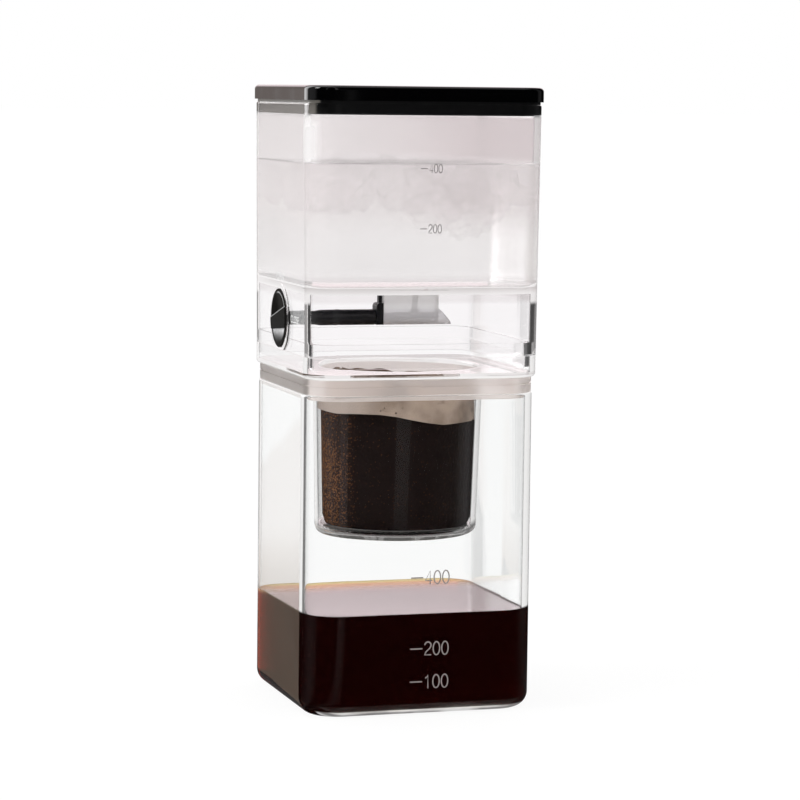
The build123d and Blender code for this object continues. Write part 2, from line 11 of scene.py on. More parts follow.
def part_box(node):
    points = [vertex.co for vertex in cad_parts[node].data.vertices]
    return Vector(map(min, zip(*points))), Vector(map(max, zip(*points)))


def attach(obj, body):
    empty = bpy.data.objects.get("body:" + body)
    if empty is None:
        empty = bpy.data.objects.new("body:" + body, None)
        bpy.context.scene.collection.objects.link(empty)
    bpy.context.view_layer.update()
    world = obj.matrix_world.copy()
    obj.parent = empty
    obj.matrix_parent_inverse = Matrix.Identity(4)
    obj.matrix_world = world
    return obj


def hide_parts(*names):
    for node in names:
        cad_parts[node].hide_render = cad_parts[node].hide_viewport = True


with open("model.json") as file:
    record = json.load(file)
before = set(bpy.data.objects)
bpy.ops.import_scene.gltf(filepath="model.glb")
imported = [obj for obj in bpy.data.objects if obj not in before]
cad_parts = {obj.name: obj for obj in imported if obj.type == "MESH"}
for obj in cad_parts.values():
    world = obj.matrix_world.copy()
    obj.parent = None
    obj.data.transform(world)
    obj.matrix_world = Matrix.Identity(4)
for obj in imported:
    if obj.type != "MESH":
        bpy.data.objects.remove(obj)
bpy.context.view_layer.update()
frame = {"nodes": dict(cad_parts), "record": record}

MM = 0.001
BLACK = (0.0, 0.0, 0.0)
WHITE = (1.0, 1.0, 1.0)

# Camera: a long lens a little above the lid, turned to show the face with the knob
CAMERA_AT = (-0.348222, -1.140237, 0.238713)
CAMERA_YAW = math.radians(17.117)
CAMERA_PITCH = math.radians(5.827)
CAMERA_ROLL = math.radians(0.678)
CAMERA_LENS = 136.83
CAMERA_SENSOR = 36.0

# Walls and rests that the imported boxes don't tell
CARAFE_WALL = 2.5 * MM
CARAFE_BASE = 2.6 * MM
CARAFE_CORNER = 12.5 * MM
CARAFE_FOOT = 3.4 * MM
TANK_WALL = 2.5 * MM
TANK_CORNER = 8.24 * MM
TANK_FOOT = 2.5 * MM
TANK_SKIRT_Z = 137.7 * MM
TANK_SKIRT_HALF = 46.0 * MM
TANK_FLOOR_TOP = 164.0 * MM
TANK_TOP_HALF = 46.8 * MM
TANK_TOP_CORNER = 11.3 * MM
TANK_LEAN = 0.8 / 95.8
LID_PLUG_HALF = 42.75 * MM
LID_PLUG_CORNER = 7.25 * MM
LID_RING_HALF = 44.9 * MM
LID_RING_CORNER = 8.2 * MM
LID_SEAL_CORNER = 9.3 * MM
LID_GAP = 1.0 * MM
CUP_WALL = 2.0 * MM
CUP_FOOT = 65.5 * MM
CUP_TOP = 129.4 * MM
CUP_FOOT_RADIUS = 33.0 * MM
CUP_TOP_RADIUS = 35.0 * MM
CUP_FLOOR_TOP = 69.3 * MM
LAP = 0.1 * MM           # how far a liquid reaches into the wall that holds it

# The knob, in millimetres: its axis, its face, and its grip's upper edge
KNOB_AXIS_Z = 150.0
KNOB_FACE_X = -47.4
GRIP_MIDDLE = 2.65
GRIP_SLOPE = 0.2675

# Levels of the contents
COFFEE_LEVEL = 38.5 * MM
COFFEE_LIFT = 0.3 * MM     # the coffee's top is this much higher at the front,
COFFEE_FALL = 1.1 * MM     # and falls this much to the back
WATER_LEVEL = 210.6 * MM
GROUNDS_GAP = 1.4 * MM
GROUNDS_ASIDE = 1.1 * MM   # the bed sits a little to the right in its cup
GROUNDS_MIDDLE = 112.5 * MM
PAPER_MIDDLE = 114.6 * MM
PAPER_RISE = 14.0 * MM
# The grounds' upper line round the cup: degrees from +X towards +Y, height in millimetres
GROUNDS_LINE = (
    (-180.0, 115.2), (-165.0, 115.2), (-148.0, 114.6), (-131.0, 115.1), (-116.0, 115.1),
    (-105.0, 114.4), (-95.0, 113.2), (-83.0, 111.9), (-71.0, 110.9), (-56.0, 111.1),
    (-41.0, 111.2), (-29.0, 110.1), (0.0, 110.6), (60.0, 112.0), (120.0, 113.8), (180.0, 115.2),
)

# Ice: x, y, depth of its middle under the water, radius, in millimetres
ICE_LUMPS = (
    (-31.0, -27.0, 7.0, 9.0), (-14.0, -29.0, 6.2, 8.0), (1.0, -30.0, 5.8, 8.0),
    (17.0, -28.0, 6.8, 9.0), (31.0, -26.0, 9.5, 10.0), (24.0, -10.0, 17.0, 12.0),
    (8.0, -18.0, 16.0, 10.0), (30.0, 14.0, 10.0, 11.0), (-20.0, 10.0, 9.0, 11.0),
    (5.0, 18.0, 9.0, 12.0), (-30.0, 28.0, 10.0, 10.0),
)

# Printed marks: text, and the height of its middle; the words also have their place along the face
CARAFE_MARKS = (("100", 13.2 * MM), ("200", 26.0 * MM), ("400", 53.5 * MM))
TANK_MARKS = (("200", 186.6 * MM), ("400", 209.3 * MM))
KNOB_WORDS = (("OPEN", 0.0, 166.2 * MM), ("CLOSE", -21.5 * MM, 150.9 * MM))
WORD_HEIGHT = 2.8 * MM
INK = 0.02 * MM          # thickness of the ink
INK_OFF = 0.05 * MM      # how far it stands off the face

# Clear walls: their gloss, and the share of painted reflection, a white glow that stands for the
# white room their corners and rims catch
CLEAR_IOR = 1.5
WALL_GLOSS = (0.3, 0.3, 0.3)
EDGE_LIGHT = (0.98, 0.97, 0.965)
EDGE_SHARE = 0.93
SKIRT_EDGE_SHARE = 0.05    # under the tank's floor
AIR_EDGE_SHARE = 0.55      # above the water
PLUG_EDGE_SHARE = 0.15     # round the lid's plug
DARK_LINE_EDGE_SHARE = 0.18     # in the carafe's painted dark upright lines beside its corners
BASE_EDGE_SHARE = 0.75     # in the front of the carafe's base
LAMP_PASS = (0.97, 0.97, 0.97)

# Studio: how bright the room is, and what polished faces mirror
ROOM_LIGHT = 0.9
FLOOR_SIZE = 30.0
FLOOR_LIFT = 0.85
FLOOR_GLOW = 1.04
FLOOR_DROP = 0.2 * MM    # the carafe's polished base stands this far clear of it
STUDIO_DARK = 0.004
OVERHEAD = (62.0, 12.0, 0.8)
LAMP_AT = (-1.1, -0.1, 1.1)
LAMP_AIM = (0.0, 0.0, 0.1)
LAMP_SIZE = (0.4, 0.5)
LAMP_POWER = 5.5

# Upright panels, in degrees: from bearing, to bearing, softness, lower edge, its softness,
# strength; bearings run from +Y towards +X, and a lower edge of FULL reaches the floor
FULL = -90.0
WARM_TINT = (1.0, 0.85, 0.8)
WARM_PANELS = (
    (-16.3, -5.0, 0.2, FULL, 5.0, 0.46),
)
LILAC_TINT = (1.0, 0.84, 0.87)
LILAC_PANELS = (
    (-5.0, 36.0, 0.4, 5.2, 1.2, 1.25),
)
PLAIN_TINT = (1.0, 0.99, 1.0)
PLAIN_PANELS = (
    (-19.8, -16.3, 0.2, FULL, 5.0, 0.9),
    (-5.0, 36.0, 0.4, FULL, 5.0, 0.24),
    (-49.0, -21.0, 7.0, -1.3, 0.4, 3.7),
    (-98.0, -58.0, 10.0, FULL, 5.0, 0.3),
    (72.0, 96.0, 6.0, FULL, 6.0, 0.12),
    (-150.0, -144.0, 1.5, 2.0, 1.5, 0.4),
    (171.0, 179.5, 2.0, 2.0, 2.0, 0.6),
    (163.79, 163.93, 0.03, FULL, 5.0, 0.16),
)
# Only in the floor: the light strips on the cup
CUP_PANELS = (
    (169.6, 181.0, 1.0, FULL, 5.0, 0.36),
    (-181.0, -170.8, 1.0, FULL, 5.0, 0.36),
)
# In the floor, panels fan out from the left wall's foot, and one more from the right wall's
LEFT_WALL_FOOT = (-46.0 * MM, -31.0 * MM)
RIGHT_WALL_FOOT = 46.0 * MM
RIGHT_WALL_PANEL = (-20.5, -16.0, 0.3)
RIGHT_WALL_FAR_TINT = (0.85, 0.83, 0.83)
FLOOR_WARM_TINT = (1.0, 0.79, 0.63)
FLOOR_FAR_TINT = (1.0, 0.94, 0.91)


class Wire:
    """A node's output, with arithmetic that adds Math nodes."""

    def __init__(self, socket):
        self.socket = socket
        self.tree = socket.id_data

    def maths(self, operation, first, second=None):
        values = {0: first} if second is None else {0: first, 1: second}
        return add_node(self.tree, "Math", {"operation": operation}, values)

    def __add__(self, other):
        return self.maths("ADD", self, other)

    __radd__ = __add__

    def __sub__(self, other):
        return self.maths("SUBTRACT", self, other)

    def __rsub__(self, other):
        return self.maths("SUBTRACT", other, self)

    def __mul__(self, other):
        return self.maths("MULTIPLY", self, other)

    __rmul__ = __mul__

    def __truediv__(self, other):
        return self.maths("DIVIDE", self, other)

    def __pow__(self, other):
        return self.maths("POWER", self, other)

    def stepped(self, edge, soft, before, after):
        """One value before an edge and another after it, with a soft step between."""
        settings = {"interpolation_type": "SMOOTHSTEP"}
        sockets = {0: self, 1: edge - soft, 2: edge + soft, 3: before, 4: after}
        return add_node(self.tree, "MapRange", settings, sockets)

    def above(self, edge, soft):
        return self.stepped(edge, soft, 0.0, 1.0)

    def below(self, edge, soft):
        return self.stepped(edge, soft, 1.0, 0.0)

    def size(self):
        return self.maths("ABSOLUTE", self)

    def clip(self):
        return add_node(self.tree, "Clamp", {}, {0: self})

    def largest(self, other):
        return self.maths("MAXIMUM", self, other)


def add_node(tree, kind, settings=None, sockets=None, output=0):
    """Adds a node: its settings first, then the values or links of its sockets."""
    node = tree.nodes.new("ShaderNode" + kind)
    for name, value in (settings or {}).items():
        setattr(node, name, value)
    for name, value in (sockets or {}).items():
        socket = node.inputs[name]
        if isinstance(value, Wire):
            tree.links.new(value.socket, socket)
        elif isinstance(value, tuple) and len(value) == 3 and len(socket.default_value) == 4:
            socket.default_value = (*value, 1.0)
        else:
            socket.default_value = value
    return Wire(node.outputs[output])


class Finish:
    """A material being made: its node tree, the object's own coordinates, and its patterns."""

    def __init__(self, name):
        self.material = bpy.data.materials.new(name)
        self.material.use_nodes = True
        self.tree = self.material.node_tree
        self.tree.nodes.clear()
        self.place = self.node("TexCoord", output="Object")

    def node(self, kind, settings=None, sockets=None, output=0):
        return add_node(self.tree, kind, settings, sockets, output)

    def stretched(self, scale, turn=(0.0, 0.0, 0.0)):
        return self.node("Mapping", {}, {"Vector": self.place, "Rotation": turn, "Scale": scale})

    def noise(self, scale, detail=2.0, place=None):
        sockets = {"Vector": place or self.place, "Scale": scale, "Detail": detail}
        return self.node("TexNoise", {}, sockets)

    def cells(self, scale, output=0):
        return self.node("TexVoronoi", {}, {"Vector": self.place, "Scale": scale}, output)

    def axis(self, index):
        return self.node("SeparateXYZ", {}, {0: self.place}, index)

    def path(self, output):
        return self.node("LightPath", output=output)

    def mixed(self, low, high, share):
        """A colour between two; a Mix node's colour sockets are its sixth and seventh."""
        return self.node("Mix", {"data_type": "RGBA"}, {0: share, 6: low, 7: high}, 2)

    def bump(self, height, distance):
        return self.node("Bump", {}, {"Height": height, "Distance": distance, "Strength": 1.0})

    def surface(self, **values):
        """A Principled shader; an underscore in a name stands for a space."""
        sockets = {name.replace("_", " "): value for name, value in values.items()}
        return self.node("BsdfPrincipled", {}, sockets)

    def light(self, colour, strength=1.0):
        return self.node("Emission", {}, {"Color": colour, "Strength": strength})

    def blend(self, first, second, share):
        return self.node("MixShader", {}, {0: share, 1: first, 2: second})

    def absorbs(self, colour, density):
        return self.node("VolumeAbsorption", {}, {"Color": colour, "Density": density})

    def lets_lamps_through(self, surface, tint):
        """The same surface, but lamps' rays pass it straight, tinted: what it holds is lit."""
        lamp = self.path("Is Shadow Ray").largest(self.path("Is Diffuse Ray"))
        return self.blend(surface, self.node("BsdfTransparent", {}, {0: tint}), lamp)

    def done(self, surface, volume=None):
        output = self.tree.nodes.new("ShaderNodeOutputMaterial")
        self.tree.links.new(surface.socket, output.inputs["Surface"])
        if volume is not None:
            self.tree.links.new(volume.socket, output.inputs["Volume"])
        return self.material


def clear_wall(finish, colour, roughness, edges, **more):
    """Clear glass or plastic, with a painted reflection: a share of white glow where its edges
    catch the white room's light.
    """
    surface = finish.surface(Base_Color=colour, Transmission_Weight=1.0, IOR=CLEAR_IOR,
                             Roughness=roughness, Specular_Tint=WALL_GLOSS, **more)
    # Painted reflection: white Emission mixed in where the face is seen at a glancing angle
    caught = finish.node("Fresnel", {}, {0: CLEAR_IOR}).above(0.7, 0.25)
    return finish.blend(surface, finish.light(EDGE_LIGHT), caught * edges)


def carafe_glass():
    """Faintly green glass, with a painted dark line beside each corner and painted light, pale and
    streaked, in the front of its base.
    """
    finish = Finish("carafe_glass")
    side, depth, height = (finish.axis(index) for index in range(3))
    smears = finish.noise(35.0, 3.0).above(0.6, 0.12)
    streaks = finish.noise(60.0, 4.0, finish.stretched((1.0, 3.0, 3.0)))
    base = depth.below(-40.0 * MM, 0.6 * MM) * height.below(5.0 * MM, 1.5 * MM)
    # Painted dark lines: a strip beside each corner gets less of the painted reflection
    lines = (depth.size() - 33.4 * MM).size().above(1.9 * MM, 0.3 * MM)
    lines = lines.largest(side.size().below(40.0 * MM, 0.3 * MM))
    edges = height.above(COFFEE_LEVEL + 1.0 * MM, 0.5 * MM)
    edges = edges * (DARK_LINE_EDGE_SHARE + (EDGE_SHARE - DARK_LINE_EDGE_SHARE) * lines)
    # Painted light in the front of the base, streaked
    edges = edges + base * (0.35 + 0.65 * streaks.above(0.45, 0.1)) * BASE_EDGE_SHARE
    surface = clear_wall(finish, WHITE, smears * 0.02, edges,
                         Normal=finish.bump(finish.noise(60.0, 1.0), 0.02 * MM))
    # A painted glow in the lowest part of the base's front, streaked
    pale = base * height.below(2.3 * MM, 0.4 * MM) * (0.2 + 0.45 * streaks.above(0.5, 0.15))
    surface = finish.blend(surface, finish.light(EDGE_LIGHT), pale)
    volume = finish.absorbs((0.78, 0.84, 0.8), 20.0)
    return finish.done(finish.lets_lamps_through(surface, LAMP_PASS), volume)


def clear_plastic():
    """The basket's plastic: its painted edge reflection is weak under the cup's floor, so its
    edges are dark there.
    """
    finish = Finish("clear_plastic")
    smears = finish.noise(35.0, 3.0).above(0.6, 0.12)
    edges = EDGE_SHARE * (0.2 + 0.8 * finish.axis(2).above(70.0 * MM, 1.5 * MM))
    surface = clear_wall(finish, WHITE, smears * 0.03, edges)
    volume = finish.absorbs((0.8, 0.78, 0.78), 30.0)
    return finish.done(finish.lets_lamps_through(surface, LAMP_PASS), volume)


def fogged_plastic():
    """The tank's plastic: it mists over round the iced water, and stays clear above and below;
    painted shade darkens its mist, and it has a painted highlight on its front-left corner.
    """
    finish = Finish("clear_plastic_misted")
    side, depth, height = (finish.axis(index) for index in range(3))
    cold = height.above(TANK_FLOOR_TOP + 3.0 * MM, 4.0 * MM) * height.below(228.5 * MM, 0.8 * MM)
    patches = finish.noise(16.0, 2.0).above(0.5, 0.35)
    mist = cold * (0.6 + 0.4 * patches)
    high = height.above(190.0 * MM, 10.0 * MM)
    left = side.below(-44.0 * MM, 1.0 * MM)
    right = side.above(2.0 * MM, 18.0 * MM)
    rim = side.above(37.0 * MM, 6.0 * MM)
    air = height.above(WATER_LEVEL + 2.0 * MM, 2.0 * MM)
    # Painted shade: the mist's tint is darker low on the left face, higher up, to the right and
    # above the water, with random patches of thicker mist
    shade = 0.02 + 0.14 * left * (1.0 - high) + high * (0.155 + 0.19 * right + 0.25 * patches)
    shade = shade + air * (0.12 + 0.34 * right + 0.25 * rim)
    misted_and_shaded = finish.mixed(WHITE, (0.78, 0.715, 0.725), shade.clip())
    misted_and_shaded = finish.mixed((1.0, 0.99, 0.995), misted_and_shaded, cold)
    # Painted shade: a darker band at the level of the tank's floor
    floor_level_shade = height.above(158.5 * MM, 1.0 * MM) * height.below(166.0 * MM, 1.5 * MM)
    misted_and_shaded = finish.mixed(misted_and_shaded, (0.76, 0.71, 0.715), floor_level_shade * 0.4)

    # Painted reflection on the edges, its share changing with height
    edges = SKIRT_EDGE_SHARE
    for edge, change in ((TANK_FLOOR_TOP - 6.0 * MM, EDGE_SHARE - SKIRT_EDGE_SHARE),
                         (WATER_LEVEL, AIR_EDGE_SHARE - EDGE_SHARE),
                         (229.0 * MM, PLUG_EDGE_SHARE - AIR_EDGE_SHARE)):
        edges = edges + height.above(edge, 1.0 * MM) * change
    surface = clear_wall(finish, misted_and_shaded, 0.02 + mist * 0.1, edges)
    # Painted highlight: a white glow on the front-left corner above the water
    corner = side.below(-43.4 * MM, 1.6 * MM) * depth.below(-34.0 * MM, 1.0 * MM)
    corner = corner * height.above(211.5 * MM, 1.5 * MM) * height.below(227.0 * MM, 3.0 * MM)
    surface = finish.blend(surface, finish.light(WHITE), corner * 0.35)
    haze = finish.surface(Base_Color=(0.92, 0.885, 0.885), Roughness=0.9)
    surface = finish.blend(surface, haze, mist * (0.1 + 0.12 * high))
    volume = finish.absorbs((0.8, 0.78, 0.78), 25.0)
    return finish.done(finish.lets_lamps_through(surface, LAMP_PASS), volume)


def clear_silicone():
    """Cloudy pinkish silicone, greyer on the side in shade."""
    finish = Finish("clear_silicone")
    cloud = finish.noise(120.0, 3.0)
    colour = finish.mixed((0.93, 0.87, 0.83), (0.88, 0.82, 0.82), cloud)
    lit = finish.axis(0).above(-44.5 * MM, 0.5 * MM)
    colour = finish.mixed((0.3, 0.28, 0.27), colour, lit)
    surface = finish.surface(Base_Color=colour, Transmission_Weight=0.8, IOR=1.41,
                             Roughness=0.25 + 0.15 * cloud, Normal=finish.bump(cloud, 0.05 * MM))
    return finish.done(finish.lets_lamps_through(surface, (0.8, 0.76, 0.72)))


def smoke_plastic():
    """The barrel's smoke-grey plastic, with flow lines; its flat boss is clearer."""
    finish = Finish("smoke_plastic")
    flow = finish.noise(180.0, 2.0, finish.stretched((0.3, 1.0, 1.0)))
    colour = finish.mixed((0.9, 0.89, 0.91), (0.98, 0.97, 0.99), flow)
    colour = finish.mixed(colour, WHITE, finish.axis(2).above(153.2 * MM, 0.3 * MM))
    return finish.done(finish.surface(Base_Color=colour, Transmission_Weight=0.5, IOR=CLEAR_IOR,
                                      Roughness=0.1 + 0.15 * flow))


def rotor_plastic():
    """The rotor's pale plastic, turned along its axis."""
    finish = Finish("rotor_plastic")
    turned = finish.noise(900.0, 2.0, finish.stretched((1.0, 0.05, 0.05)))
    colour = finish.mixed((0.66, 0.66, 0.65), (0.8, 0.8, 0.79), turned)
    return finish.done(finish.surface(Base_Color=colour, Roughness=0.45,
                                      Normal=finish.bump(turned, 0.02 * MM)))


def black_rubber():
    """Matt black rubber."""
    finish = Finish("black_rubber")
    grain = finish.noise(2500.0, 2.0)
    colour = finish.mixed((0.012, 0.012, 0.012), (0.03, 0.03, 0.03), grain)
    return finish.done(finish.surface(Base_Color=colour, Roughness=0.5 + 0.2 * grain))


def band_rubber():
    """Black silicone, smooth, with a trace of dust; its left side is painted lighter grey, painted
    light.
    """
    finish = Finish("band_rubber")
    dust = finish.noise(400.0, 2.0)
    colour = finish.mixed((0.001, 0.001, 0.0012), (0.005, 0.005, 0.0055), dust)
    # Painted light: the left side is lighter grey
    free_of_specks_or_sheen = finish.axis(0).above(-43.0 * MM, 0.5 * MM)
    colour = finish.mixed((0.15, 0.14, 0.125), colour, free_of_specks_or_sheen)
    return finish.done(finish.surface(Base_Color=colour, Roughness=0.3 + 0.1 * dust,
                                      Specular_IOR_Level=0.2))


def black_plastic():
    """Moulded black plastic: a fine spark texture with rubbed patches."""
    finish = Finish("black_plastic")
    grain = finish.noise(2200.0, 2.0)
    rubbed = finish.noise(90.0, 3.0)
    colour = finish.mixed((0.002, 0.002, 0.003), (0.01, 0.01, 0.012), rubbed)
    return finish.done(finish.surface(Base_Color=colour, Roughness=0.22 + 0.2 * rubbed,
                                      Normal=finish.bump(grain, 0.012 * MM)))


def knob_plastic():
    """Satin black plastic, with light on the grip's upper edge and in the dish below the grip."""
    finish = Finish("knob_plastic")
    along = finish.axis(1) * -1000.0
    up = finish.axis(2) * 1000.0 - KNOB_AXIS_Z
    deep = finish.axis(0) * 1000.0 - KNOB_FACE_X
    over_grip = up - (along * GRIP_SLOPE + GRIP_MIDDLE)
    edge = over_grip.size().below(0.42, 0.12) * deep.below(0.35, 0.1)
    radius = (along * along + up * up) ** 0.5
    ring = (radius - 10.0).size().below(0.28, 0.1) * along.above(-1.5, 2.0)
    ring = ring * over_grip.above(0.3, 0.3)
    dish = (up + 4.05 - along * 0.092).below(-0.1, 0.2) * radius.below(9.6, 0.4)
    fade = ((up + 10.0) / 5.5).clip() ** 2.4
    grain = finish.noise(900.0, 3.0)
    colour = finish.mixed((0.004, 0.004, 0.004), (0.014, 0.013, 0.012), grain)
    # Painted highlights on the grip's upper edge and along the dish's inner rim, and painted light
    # in the dish below the grip that fades towards its bottom
    colour = finish.mixed(colour, (0.42, 0.42, 0.42), edge.largest(ring) * 0.9)
    colour = finish.mixed(colour, (0.75, 0.75, 0.76), dish * fade * (0.45 + grain))
    satin = finish.surface(Base_Color=colour, Roughness=0.5, Specular_IOR_Level=0.0)
    gloss = finish.surface(Base_Color=colour, Roughness=0.15 + 0.1 * grain)
    return finish.done(finish.blend(satin, gloss, 0.08))


def gloss_black():
    """High-gloss black lid: polished, with faint wipe marks."""
    finish = Finish("gloss_black")
    wipes = finish.noise(26.0, 4.0, finish.stretched((1.0, 3.0, 1.0), (0.0, 0.0, 0.5)))
    return finish.done(finish.surface(Base_Color=(0.0004, 0.0004, 0.0005), IOR=CLEAR_IOR,
                                      Roughness=0.03 + 0.1 * wipes.above(0.62, 0.15)))


def screen_steel():
    """Punched steel, with the rolling's grain."""
    finish = Finish("screen_steel")
    grain = finish.noise(700.0, 3.0, finish.stretched((1.0, 0.06, 1.0)))
    return finish.done(finish.surface(Base_Color=(0.58, 0.57, 0.55), Metallic=1.0,
                                      Roughness=0.25 + 0.2 * grain,
                                      Normal=finish.bump(grain, 0.01 * MM)))


def brewed_coffee():
    """Filtered coffee: clear, deep brown, amber where it is thin, and with painted amber light
    along its far edge.
    """
    finish = Finish("brewed_coffee")
    depth, height = finish.axis(1), finish.axis(2)
    ripple = finish.noise(40.0, 2.0)
    surface = finish.surface(Base_Color=WHITE, Transmission_Weight=1.0, IOR=1.34,
                             Roughness=0.01 * ripple, Normal=finish.bump(ripple, 0.02 * MM))
    body = finish.surface(Base_Color=(0.35, 0.035, 0.03), Roughness=0.8, Specular_IOR_Level=0.0)
    surface = finish.blend(surface, body, 0.014)
    # Painted light: an amber glow along the far edge of the coffee's top, for light seen through
    # the thin coffee there
    edge = depth.above(41.0 * MM, 2.0 * MM)
    colour = finish.mixed((0.85, 0.5, 0.26), (0.92, 0.74, 0.38), edge)
    painted_amber_glow = finish.surface(Base_Color=colour, Roughness=0.8, Specular_IOR_Level=0.0)
    far = depth.above(32.0 * MM, 13.0 * MM) * height.above(COFFEE_LEVEL - 1.2 * MM, 0.2 * MM)
    surface = finish.blend(surface, painted_amber_glow, far * 0.72)
    return finish.done(surface, finish.absorbs((0.869, 0.571, 0.0), 650.0))


def iced_water():
    """Water with a slightly rippled top."""
    finish = Finish("iced_water")
    ripple = finish.noise(50.0, 3.0)
    surface = finish.surface(Base_Color=WHITE, Transmission_Weight=1.0, IOR=1.33,
                             Roughness=0.02 * ripple, Normal=finish.bump(ripple, 0.05 * MM))
    volume = finish.absorbs((0.82, 0.8, 0.8), 8.0)
    return finish.done(finish.lets_lamps_through(surface, (0.95, 0.94, 0.94)), volume)


def melting_ice():
    """Cloudy crushed ice: mostly see-through, greyer where it is thick."""
    finish = Finish("melting_ice")
    cloud = finish.noise(60.0, 3.0)
    facing = finish.node("LayerWeight", {}, {0: 0.5}, "Facing")
    body = 0.025 + 0.11 * cloud.above(0.5, 0.25) + 0.02 * facing ** 4.0
    seen = finish.surface(Base_Color=(0.62, 0.56, 0.565), Roughness=0.5)
    passed = finish.node("BsdfTransparent", {}, {0: WHITE})
    return finish.done(finish.blend(passed, seen, body.clip()))


def coffee_grounds():
    """Coarse wet grounds: near black, with brown flecks that are closer together and brighter
    towards the left, where the dark is lighter too.
    """
    finish = Finish("coffee_grounds")
    drift = finish.noise(45.0, 3.0)
    fleck = finish.node("SeparateColor", {}, {0: finish.cells(2500.0, "Color")})
    # Towards the left the flecks are closer together and brighter, and the dark is lighter
    toward_left = finish.axis(0).below(-24.0 * MM, 5.0 * MM)
    dense = 0.015 + 0.3 * toward_left * drift.above(0.45, 0.15)
    share = fleck.above(1.0 - dense, 0.02)
    damp = finish.noise(300.0, 3.0)
    dark = finish.mixed((0.006, 0.0025, 0.002), (0.014, 0.007, 0.006), damp)
    dark = finish.mixed(dark, (0.03, 0.01, 0.004), toward_left * 0.6)
    colour = finish.mixed(dark, (0.22, 0.085, 0.025), share * (0.2 + 0.8 * toward_left))
    return finish.done(finish.surface(Base_Color=colour, Roughness=0.6 + 0.2 * drift,
                                      Specular_IOR_Level=0.1,
                                      Normal=finish.bump(finish.cells(900.0), 0.25 * MM)))


def wet_paper():
    """Wet filter paper: cream, stained by the coffee under it, with specks of grounds."""
    finish = Finish("wet_paper")
    fibre = finish.noise(600.0, 4.0)
    stain = finish.noise(55.0, 4.0)
    crease = finish.noise(110.0, 3.0, finish.stretched((1.0, 1.0, 2.5)))
    # Paler towards the left
    paler_leftward = finish.axis(0).below(-19.0 * MM, 9.0 * MM)
    free_of_specks_or_sheen = finish.cells(420.0).above(0.16, 0.06).largest(finish.noise(30.0).above(0.5, 0.05))
    colour = finish.mixed((0.2, 0.14, 0.1), (0.52, 0.4, 0.32), stain.above(0.5, 0.16))
    colour = finish.mixed(colour, (0.16, 0.11, 0.08), crease.above(0.64, 0.07) * 0.7)
    colour = finish.mixed(colour, (0.54, 0.45, 0.4), paler_leftward)
    colour = finish.mixed((0.06, 0.035, 0.024), colour, free_of_specks_or_sheen)
    return finish.done(finish.surface(Base_Color=colour, Roughness=0.55,
                                      Normal=finish.bump(fibre, 0.06 * MM)))


def print_ink(name, colour):
    """Screen-printed ink: flat colour, broken up a little by the print screen."""
    finish = Finish(name)
    screen = finish.noise(1500.0, 2.0)
    tone = finish.mixed(colour, tuple(0.85 * c for c in colour), screen)
    return finish.done(finish.surface(Base_Color=tone, Roughness=0.6))


def as_piece(shape, name, body, material, sharp=35.0):
    """Makes a finished bmesh an object that rides on a body."""
    mesh = bpy.data.meshes.new(name)
    shape.to_mesh(mesh)
    shape.free()
    made = bpy.data.objects.new(name, mesh)
    bpy.context.scene.collection.objects.link(made)
    mesh.materials.clear()
    mesh.materials.append(material)
    mesh.polygons.foreach_set("use_smooth", [True] * len(mesh.polygons))
    mesh.set_sharp_from_angle(angle=math.radians(sharp))
    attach(made, body)
    return made


def new_parts(grown, kind):
    return [part for part in grown if isinstance(part, kind)]


def grow(shape, edges):
    """Extrudes a ring of edges where it is: the new ring's edges and its points."""
    grown = bmesh.ops.extrude_edge_only(shape, edges=edges)["geom"]
    return new_parts(grown, bmesh.types.BMEdge), new_parts(grown, bmesh.types.BMVert)


def square_body(width_low, width_high, corner, low, high, foot):
    """A square block with round upright corners and a round foot, its sides leaning out."""
    shape = bmesh.new()
    bmesh.ops.create_cube(shape, size=1.0)
    bmesh.ops.scale(shape, vec=(width_low, width_low, high - low), verts=shape.verts)
    bmesh.ops.translate(shape, vec=(0.0, 0.0, (low + high) / 2), verts=shape.verts)
    top = [v for v in shape.verts if v.co.z > (low + high) / 2]
    lean = width_high / width_low
    bmesh.ops.scale(shape, vec=(lean, lean, 1.0), verts=top)
    upright = [e for e in shape.edges if abs(e.verts[0].co.z - e.verts[1].co.z) > foot]
    bmesh.ops.bevel(shape, geom=upright, offset=corner, offset_type="OFFSET", affect="EDGES",
                    segments=14, profile=0.5, material=-1)
    under = [e for e in shape.edges if all(v.co.z < low + 1e-6 for v in e.verts)]
    bmesh.ops.bevel(shape, geom=under, offset=foot, offset_type="OFFSET", affect="EDGES",
                    segments=6, profile=0.5, material=-1)
    return shape


def climb_the_wall(shape, rise, width, steps=5):
    """Gives a liquid's flat top the curved edge that wets the wall round it."""
    top = max(shape.faces, key=lambda f: f.calc_center_median().z)
    bmesh.ops.translate(shape, vec=(0.0, 0.0, rise), verts=top.verts)
    for step in range(steps):
        bmesh.ops.inset_region(shape, faces=[top], thickness=width / steps, use_even_offset=True)
        fall = ((steps - step) ** 2 - (steps - step - 1) ** 2) / steps ** 2
        bmesh.ops.translate(shape, vec=(0.0, 0.0, -rise * fall), verts=top.verts)


def make_coffee():
    low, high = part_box("carafe")
    width = high.x - low.x - 2 * CARAFE_WALL + 2 * LAP
    shape = square_body(width, width, CARAFE_CORNER, CARAFE_BASE - LAP, COFFEE_LEVEL, CARAFE_FOOT)
    climb_the_wall(shape, 0.5 * MM, 2.0 * MM)
    for v in shape.verts:
        if v.co.z > COFFEE_LEVEL - LAP:
            v.co.z += COFFEE_LIFT - COFFEE_FALL * (v.co.y + width / 2) / width
    return as_piece(shape, "brewed_coffee", "carafe", brewed_coffee())


